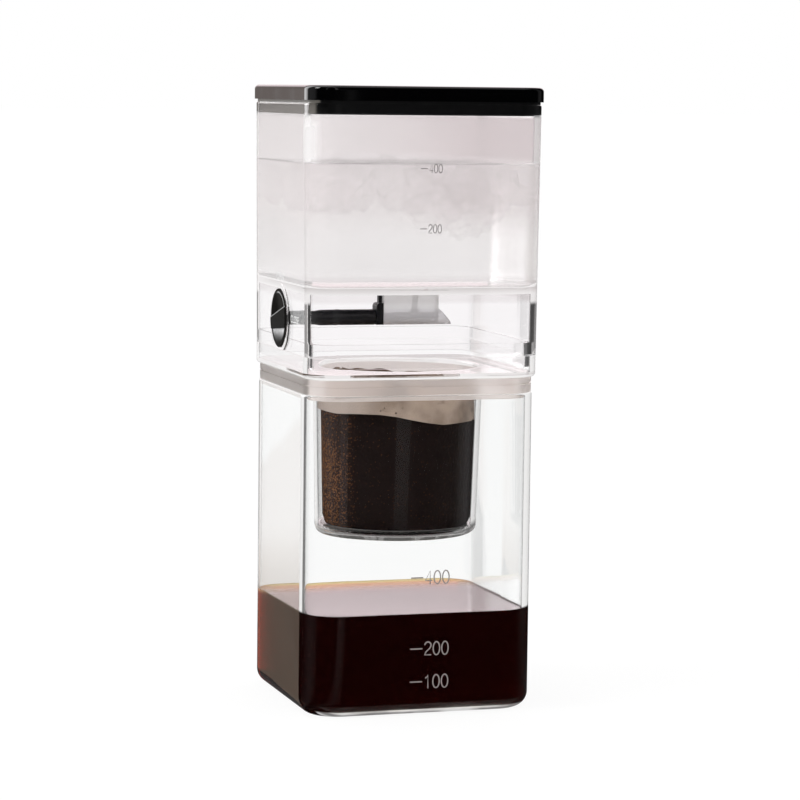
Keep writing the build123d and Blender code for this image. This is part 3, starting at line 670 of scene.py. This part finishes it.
def make_water():
    low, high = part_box("water_tank")
    width = high.y - low.y - 2 * TANK_WALL + 2 * LAP
    width_low = width - 2 * TANK_LEAN * (high.z - TANK_FLOOR_TOP)
    width_high = width - 2 * TANK_LEAN * (high.z - WATER_LEVEL)
    shape = square_body(width_low, width_high, TANK_CORNER, TANK_FLOOR_TOP - LAP, WATER_LEVEL,
                        TANK_FOOT)
    climb_the_wall(shape, 0.7 * MM, 2.0 * MM)
    return as_piece(shape, "iced_water", "tank", iced_water())


def make_ice():
    """Lumps of melting ice under the water's surface, some with their tips above it."""
    draw = random.Random(11)
    flat = Matrix.Diagonal((1.0, 1.0, 0.8, 1.0))
    shape = bmesh.new()
    for x, y, down, size in ICE_LUMPS:
        lump = bmesh.ops.create_icosphere(shape, subdivisions=5, radius=1.0)["verts"]
        seed = Vector((draw.random(), draw.random(), draw.random())) * 50.0
        for v in lump:
            v.co *= size * MM * (1.0 + 0.45 * noise.fractal(v.co * 1.5 + seed, 0.8, 2.2, 3))
        place = Matrix.Translation((x * MM, y * MM, WATER_LEVEL - down * MM))
        bmesh.ops.transform(shape, matrix=place @ flat, verts=lump)
    return as_piece(shape, "melting_ice", "tank", melting_ice(), 80.0)


def cup_radius(z):
    """The basket's outer radius at a height: the cup is a little wider at its top."""
    share = (z - CUP_FOOT) / (CUP_TOP - CUP_FOOT)
    return CUP_FOOT_RADIUS + (CUP_TOP_RADIUS - CUP_FOOT_RADIUS) * share


def grounds_line(angle):
    """Height of the grounds' upper edge in a direction."""
    turn = math.degrees(angle)
    for (start, low), (end, high) in zip(GROUNDS_LINE, GROUNDS_LINE[1:]):
        if turn <= end:
            share = (turn - start) / (end - start)
            return (low + (high - low) * share) * MM
    return GROUNDS_LINE[-1][1] * MM


def wobble(angle, waves, level):
    """An even, seeded wobble round the cup, from -1 to 1."""
    return noise.noise((waves * math.cos(angle), waves * math.sin(angle), level))


def make_grounds():
    """The bed of wet grounds: it fills the cup to an uneven line, lower on one side."""
    shape = bmesh.new()
    turns, levels, rings = 240, 14, 12
    ring = bmesh.ops.create_circle(shape, cap_ends=True, segments=turns, radius=1.0)["verts"]
    edges = shape.edges[:]

    def wrap(verts, share, inset):
        for v in verts:
            angle = math.atan2(v.co.y, v.co.x)
            rough = 0.5 * MM * wobble(angle, 6.0, 3.0) + 0.55 * MM * wobble(angle, 19.0, 5.0)
            z = CUP_FLOOR_TOP + (grounds_line(angle) + rough - CUP_FLOOR_TOP) * share
            r = cup_radius(z) - CUP_WALL - GROUNDS_GAP - inset
            v.co = Vector((r * math.cos(angle), r * math.sin(angle), z))

    wrap(ring, 0.0, 1.2 * MM)
    for level in range(1, levels + 1):
        edges, ring = grow(shape, edges)
        wrap(ring, level / levels, 0.0)
    for step in range(1, rings):
        edges, ring = grow(shape, edges)
        for v in ring:
            flat = Vector((v.co.x, v.co.y, 0.0)) * (1.0 - 1.0 / (rings + 1 - step))
            lump = 0.9 * MM * noise.fractal(flat * 130.0, 0.8, 2.1, 3)
            v.co = Vector((flat.x, flat.y, v.co.z * 0.86 + 0.14 * GROUNDS_MIDDLE + lump))
    bmesh.ops.contextual_create(shape, geom=edges)
    bmesh.ops.translate(shape, vec=(GROUNDS_ASIDE, 0.0, 0.0), verts=shape.verts)
    bmesh.ops.recalc_face_normals(shape, faces=shape.faces)
    return as_piece(shape, "coffee_grounds", "basket", coffee_grounds(), 60.0)


def make_paper():
    """The round filter paper on the grounds, its edge turned up the cup's wall."""
    shape = bmesh.new()
    flat_rings, wall_rings, turns = 14, 16, 144
    bmesh.ops.create_circle(shape, cap_ends=True, segments=turns, radius=1.0 * MM)
    edges = shape.edges[:]

    def put(v, along, up):
        """Places a point: its share of the way to the wall, then its share of the way up it."""
        angle = math.atan2(v.co.y, v.co.x)
        line = grounds_line(angle) - 0.5 * MM
        r = (cup_radius(line) - CUP_WALL - 0.55 * MM) * along
        z = line * along ** 2 + (1.0 - along ** 2) * PAPER_MIDDLE
        if up:
            pleat = (0.5 + 0.5 * wobble(angle, 7.0, 2.0 * up)) * 1.1 * MM
            z = line + (PAPER_RISE + 2.0 * MM * wobble(angle, 4.0, 9.0)) * up
            r = cup_radius(z) - CUP_WALL - 0.5 * MM - pleat * up
        v.co = Vector((r * math.cos(angle), r * math.sin(angle), z))

    for v in shape.verts:
        put(v, 0.03, 0.0)
    for step in range(1, flat_rings + wall_rings + 1):
        edges, ring = grow(shape, edges)
        for v in ring:
            put(v, min(step / flat_rings, 1.0), max(step - flat_rings, 0) / wall_rings)
    bmesh.ops.recalc_face_normals(shape, faces=shape.faces)
    bmesh.ops.solidify(shape, geom=shape.faces[:], thickness=0.2 * MM)
    return as_piece(shape, "wet_paper", "basket", wet_paper(), 80.0)


def swept_square(section, corner_steps=10):
    """A square ring with round corners; its section is a list of (half width, corner, height)."""
    shape = bmesh.new()
    count = 4 * (corner_steps + 1)

    def put(vert, index, half, corner, height):
        quarter, step = divmod(index, corner_steps + 1)
        angle = math.radians(90.0 * (quarter + step / corner_steps))
        side_x = 1.0 if quarter in (0, 3) else -1.0
        side_y = 1.0 if quarter in (0, 1) else -1.0
        vert.co = Vector((side_x * (half - corner) + corner * math.cos(angle),
                          side_y * (half - corner) + corner * math.sin(angle), height))

    def spot(vert):
        return tuple(round(c, 9) for c in vert.co)

    ring = bmesh.ops.create_circle(shape, cap_ends=False, segments=count, radius=1.0)["verts"]
    edges = shape.edges[:]
    turn = {v: round(math.atan2(v.co.y, v.co.x) / math.tau * count) % count for v in ring}
    for v in ring:
        put(v, turn[v], *section[0])
    for half, corner, height in (*section[1:], section[0]):
        was = {spot(v): turn[v] for v in ring}
        edges, ring = grow(shape, edges)
        turn = {v: was[spot(v)] for v in ring}
        for v in ring:
            put(v, turn[v], half, corner, height)
    bmesh.ops.remove_doubles(shape, verts=shape.verts, dist=1e-6)
    bmesh.ops.recalc_face_normals(shape, faces=shape.faces)
    return shape


def make_squeezed_seal():
    """The lid's black seal with the lid on: its sleeve is pressed flat on the tank's wall."""
    low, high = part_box("lid_seal")
    rim_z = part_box("water_tank")[1].z
    mouth = TANK_TOP_HALF - TANK_WALL + LAP
    foot = mouth - TANK_LEAN * (rim_z - low.z)
    corner = TANK_TOP_CORNER - TANK_WALL + LAP
    edge = 0.5 * MM
    section = [
        (LID_PLUG_HALF, LID_PLUG_CORNER, high.z),
        (LID_PLUG_HALF, LID_PLUG_CORNER, low.z + 0.2 * MM),
        (LID_PLUG_HALF + 0.2 * MM, LID_PLUG_CORNER, low.z),
        (foot - edge, corner - edge, low.z),
        (foot, corner, low.z + edge),
        (mouth, corner, rim_z - 0.9 * MM),
        (mouth - 0.05 * MM, corner, rim_z),
        (high.x, LID_SEAL_CORNER, rim_z),
        (high.x, LID_SEAL_CORNER, rim_z + LID_GAP),
        (LID_RING_HALF, LID_RING_CORNER, rim_z + LID_GAP),
        (LID_RING_HALF, LID_RING_CORNER, high.z),
    ]
    shape = swept_square(section)
    loose = [v for v in shape.verts
             if v.co.x < edge - foot and abs(v.co.y) < mouth - corner + LAP and v.co.z < rim_z]
    bmesh.ops.translate(shape, vec=(0.3 * MM, 0.0, 0.0), verts=loose)
    seal = as_piece(shape, "lid_seal_squeezed", "lid", band_rubber(), 40.0)
    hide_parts("lid_seal")
    return seal


def oval(cx, cy, rx, ry, start, end, steps=18):
    """Points along an upright oval, from one angle to another, in degrees."""
    angles = [math.radians(start + (end - start) * i / steps) for i in range(steps + 1)]
    return [(cx + rx * math.cos(a), cy + ry * math.sin(a)) for a in angles]


# Pen strokes of the scales' numerals, 1 high
NUMERALS = {
    "0": (oval(0.27, 0.5, 0.25, 0.48, 0, 345, 24) + [(0.52, 0.5)],),
    "1": ([(0.08, 0.76), (0.2, 0.8), (0.27, 0.88), (0.3, 0.98), (0.3, 0.0)],),
    "2": (oval(0.27, 0.73, 0.24, 0.25, 175, -15, 14)
          + [(0.4, 0.5), (0.12, 0.26), (0.03, 0.04), (0.53, 0.04)],),
    "4": ([(0.38, 0.0), (0.38, 0.98), (0.02, 0.28), (0.54, 0.28)],),
}
NUMERAL_STEP = 0.66


def mesh_of(curve, flat=1.0):
    """Turns a curve into a mesh, pressed to a share of its thickness."""
    holder = bpy.data.objects.new("lettering", curve)
    bpy.context.scene.collection.objects.link(holder)
    bpy.context.view_layer.update()
    mesh = bpy.data.meshes.new_from_object(holder)
    bpy.data.objects.remove(holder)
    bpy.data.curves.remove(curve)
    mesh.transform(Matrix.Diagonal((1.0, 1.0, flat, 1.0)))
    return mesh


def numerals(text, height, narrow, pen, dash):
    """A scale's mark as a flat mesh: a dash, then a number whose left end is at the origin."""
    curve = bpy.data.curves.new("numerals", "CURVE")
    curve.dimensions = "3D"
    curve.bevel_depth = pen / 2
    curve.bevel_resolution = 2
    curve.use_fill_caps = True
    strokes = [[(dash[0], 0.0), (dash[1], 0.0)]]
    for place, numeral in enumerate(text):
        for stroke in NUMERALS[numeral]:
            strokes.append([((x + place * NUMERAL_STEP) * height * narrow, (y - 0.5) * height)
                            for x, y in stroke])
    for points in strokes:
        line = curve.splines.new("POLY")
        line.points.add(len(points) - 1)
        for point, (x, y) in zip(line.points, points):
            point.co = (x, y, 0.0, 1.0)
    return mesh_of(curve, INK / pen)


def word(text, height):
    """A word as a flat mesh, its left end at the origin."""
    curve = bpy.data.curves.new("word", "FONT")
    curve.body = text
    curve.size = height / 0.7
    curve.align_x = "LEFT"
    curve.extrude = INK / 2
    curve.offset = 0.02 * MM
    return mesh_of(curve)


def tank_half(z):
    """Half of the tank's outer width at a height."""
    return TANK_SKIRT_HALF + (z - TANK_SKIRT_Z) * TANK_LEAN


def printed(mesh, name, shift, turn, at, body, material):
    """Lays a flat mark on a face: moved in its own plane, turned, then put in its place."""
    shape = bmesh.new()
    shape.from_mesh(mesh)
    bpy.data.meshes.remove(mesh)
    bmesh.ops.translate(shape, vec=(*shift, 0.0), verts=shape.verts)
    bmesh.ops.transform(shape, matrix=Matrix.Translation(at) @ turn, verts=shape.verts)
    return as_piece(shape, name, body, material, 30.0)


def make_prints():
    """The scales on the carafe and the tank, and the two words beside the knob."""
    grey = print_ink("grey_print", (0.31, 0.28, 0.27))
    pale = print_ink("pale_grey_print", (0.27, 0.25, 0.25))
    white = print_ink("white_print", (0.9, 0.9, 0.9))
    stand = Matrix.Rotation(math.radians(90), 4, "X")
    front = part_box("carafe")[0].y
    for text, z in CARAFE_MARKS:
        mark = numerals(text, 5.3 * MM, 0.98, 0.5 * MM, (-5.7 * MM, -0.8 * MM))
        printed(mark, f"carafe_mark_{text}", (-0.3 * MM, 0.0), stand, (0.0, front - INK_OFF, z),
                "carafe", grey)
    lean = Matrix.Rotation(math.atan(TANK_LEAN), 4, "X")
    for text, z in TANK_MARKS:
        mark = numerals(text, 3.4 * MM, 0.82, 0.32 * MM, (-3.4 * MM, -0.7 * MM))
        printed(mark, f"tank_mark_{text}", (-0.9 * MM, 0.0), lean @ stand,
                (0.0, -tank_half(z) - INK_OFF, z), "tank", pale)
    side = Matrix.Rotation(math.radians(-90), 4, "Z") @ stand
    for text, y, z in KNOB_WORDS:
        mark = word(text, WORD_HEIGHT)
        half = max(v.co.x for v in mark.vertices) / 2
        printed(mark, f"{text.lower()}_label", (-half, -WORD_HEIGHT / 2), side,
                (-tank_half(z) - INK_OFF, y, z), "tank", white)


# The finish of each slot, and of the nodes that have their own
SLOT_FINISHES = {
    "carafe_glass": carafe_glass, "clear_plastic": clear_plastic,
    "clear_silicone": clear_silicone, "smoke_plastic": smoke_plastic,
    "rotor_plastic": rotor_plastic, "black_rubber": black_rubber,
    "black_plastic": black_plastic, "gloss_black": gloss_black, "screen_steel": screen_steel,
}
OWN_FINISHES = {"water_tank": fogged_plastic, "valve_knob": knob_plastic}


def finish_nodes():
    """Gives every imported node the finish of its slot, or its own."""
    made = {}
    for part in frame["record"]["subparts"]:
        slot = part["material_slot"]
        if slot not in made:
            made[slot] = SLOT_FINISHES[slot]()
        mesh = frame["nodes"][part["node"]].data
        mesh.materials.clear()
        own = OWN_FINISHES.get(part["node"])
        mesh.materials.append(own() if own else made[slot])


def make_camera():
    lens = bpy.data.cameras.new("camera")
    lens.lens = CAMERA_LENS
    lens.sensor_width = CAMERA_SENSOR
    lens.clip_end = 100.0
    camera = bpy.data.objects.new("camera", lens)
    bpy.context.scene.collection.objects.link(camera)
    yaw = Matrix.Rotation(-CAMERA_YAW, 4, "Z")
    pitch = Matrix.Rotation(math.radians(90) - CAMERA_PITCH, 4, "X")
    roll = Matrix.Rotation(CAMERA_ROLL, 4, "Z")
    camera.matrix_world = Matrix.Translation(CAMERA_AT) @ yaw @ pitch @ roll
    bpy.context.scene.camera = camera


def bearing_of(x, y):
    """The direction of a point in degrees, from +Y towards +X."""
    return x.maths("ARCTAN2", x, y) * math.degrees(1.0)


def studio_glow(bearing, panels, rise=None):
    """What panels add in a direction; without a rise, as in the floor, only full-height ones."""
    glow = 0.0
    for left, right, soft, low, low_soft, strength in panels:
        if rise is None and low > FULL:
            continue
        lit = bearing.above(left, soft) * bearing.below(right, soft)
        if low > FULL:
            lit = lit * rise.above(low, low_soft)
        glow = glow + lit * strength
    return glow


def floor_finish():
    """Matt and pale, with its own glow; polished faces mirror the panels' fans in it."""
    finish = Finish("floor")
    across, depth = finish.axis(0), finish.axis(1)
    pale = finish.mixed((0.9, 0.9, 0.9), (0.92, 0.92, 0.92), finish.noise(3.0, 2.0))
    matt = finish.surface(Base_Color=pale, Roughness=0.9)

    x, y = across - LEFT_WALL_FOOT[0], depth - LEFT_WALL_FOOT[1]
    bearing = bearing_of(x, y)
    away = (x * x + y * y) ** 0.5
    past_near = away.above(0.38, 0.15)
    lift = 0.72 + 1.1 * past_near * away.below(2.6, 0.7)
    tint = finish.mixed(FLOOR_WARM_TINT, FLOOR_FAR_TINT, past_near)
    warm = finish.mixed(BLACK, tint, (studio_glow(bearing, WARM_PANELS) * lift).clip())
    even = 0.35 + 0.65 * away.above(0.35, 0.15) - 0.35 * away.above(2.4, 0.6)
    plain = studio_glow(bearing, PLAIN_PANELS + CUP_PANELS) * even + STUDIO_DARK
    cool = finish.mixed(BLACK, PLAIN_TINT, plain.clip())

    left, right, soft = RIGHT_WALL_PANEL
    bearing = bearing_of(across - RIGHT_WALL_FOOT, depth)
    fan = bearing.above(left, soft) * bearing.below(right, soft)
    warm = finish.mixed(warm, BLACK, fan)
    cool = finish.mixed(cool, finish.mixed(WHITE, RIGHT_WALL_FAR_TINT, away.above(2.95, 0.3)), fan)

    mirrored = finish.node("AddShader", {}, {0: finish.light(warm), 1: finish.light(cool)})
    seen = finish.blend(matt, finish.light(WHITE, FLOOR_GLOW), FLOOR_LIFT)
    seen = finish.blend(seen, mirrored, finish.path("Glossy Depth").above(0.5, 0.1))
    return finish.done(finish.blend(seen, matt, finish.path("Diffuse Depth").above(0.5, 0.1)))


def make_floor():
    """A wide pale floor that shows white and keeps the machine's shadow."""
    shape = bmesh.new()
    bmesh.ops.create_grid(shape, x_segments=1, y_segments=1, size=FLOOR_SIZE)
    bmesh.ops.translate(shape, vec=(0.0, 0.0, -FLOOR_DROP), verts=shape.verts)
    mesh = bpy.data.meshes.new("floor")
    shape.to_mesh(mesh)
    shape.free()
    floor = bpy.data.objects.new("floor", mesh)
    bpy.context.scene.collection.objects.link(floor)
    mesh.materials.append(floor_finish())


def make_light():
    """A white room; only reflections see the soft boxes at its sides and the darkness in front."""
    world = bpy.data.worlds.new("studio")
    bpy.context.scene.world = world
    world.use_nodes = True
    tree = world.node_tree
    tree.nodes.clear()

    def background(colour, strength):
        return add_node(tree, "Background", {}, {"Color": colour, "Strength": strength})

    way = add_node(tree, "TexCoord")
    x, y, z = (add_node(tree, "SeparateXYZ", {}, {0: way}, axis) for axis in range(3))
    bearing = bearing_of(x, y)
    rise = z.maths("ARCSINE", z) * math.degrees(1.0)
    edge, soft, strength = OVERHEAD
    overhead = rise.above(edge, soft) * strength + STUDIO_DARK
    warm = background(WARM_TINT, studio_glow(bearing, WARM_PANELS, rise))
    lilac = background(LILAC_TINT, studio_glow(bearing, LILAC_PANELS, rise))
    plain = background(PLAIN_TINT, studio_glow(bearing, PLAIN_PANELS, rise) + overhead)
    studio = add_node(tree, "AddShader", {}, {0: lilac, 1: plain})
    studio = add_node(tree, "AddShader", {}, {0: warm, 1: studio})
    mirrored = add_node(tree, "LightPath", output="Glossy Depth").above(0.5, 0.1)
    spread = add_node(tree, "LightPath", output="Diffuse Depth").above(0.5, 0.1)
    seen = add_node(tree, "MixShader", {}, {0: mirrored, 1: background(WHITE, 1.0), 2: studio})
    room = background(WHITE, ROOM_LIGHT)
    mixed = add_node(tree, "MixShader", {}, {0: spread, 1: seen, 2: room})
    output = tree.nodes.new("ShaderNodeOutputWorld")
    tree.links.new(mixed.socket, output.inputs[0])


def make_lamp():
    """One soft lamp, high on the left."""
    light = bpy.data.lights.new("left_panel", "AREA")
    light.shape = "RECTANGLE"
    light.size, light.size_y = LAMP_SIZE
    light.energy = LAMP_POWER
    lamp = bpy.data.objects.new("left_panel", light)
    bpy.context.scene.collection.objects.link(lamp)
    facing = (Vector(LAMP_AIM) - Vector(LAMP_AT)).to_track_quat("-Z", "Y")
    lamp.matrix_world = Matrix.Translation(LAMP_AT) @ facing.to_matrix().to_4x4()


scene = bpy.context.scene
scene.view_settings.view_transform = "Standard"
scene.cycles.max_bounces = 24
scene.cycles.transmission_bounces = 24
scene.cycles.transparent_max_bounces = 32
scene.cycles.glossy_bounces = 8

make_camera()
finish_nodes()
make_coffee()
make_water()
make_ice()
make_grounds()
make_paper()
make_squeezed_seal()
make_prints()
make_floor()
make_light()
make_lamp()
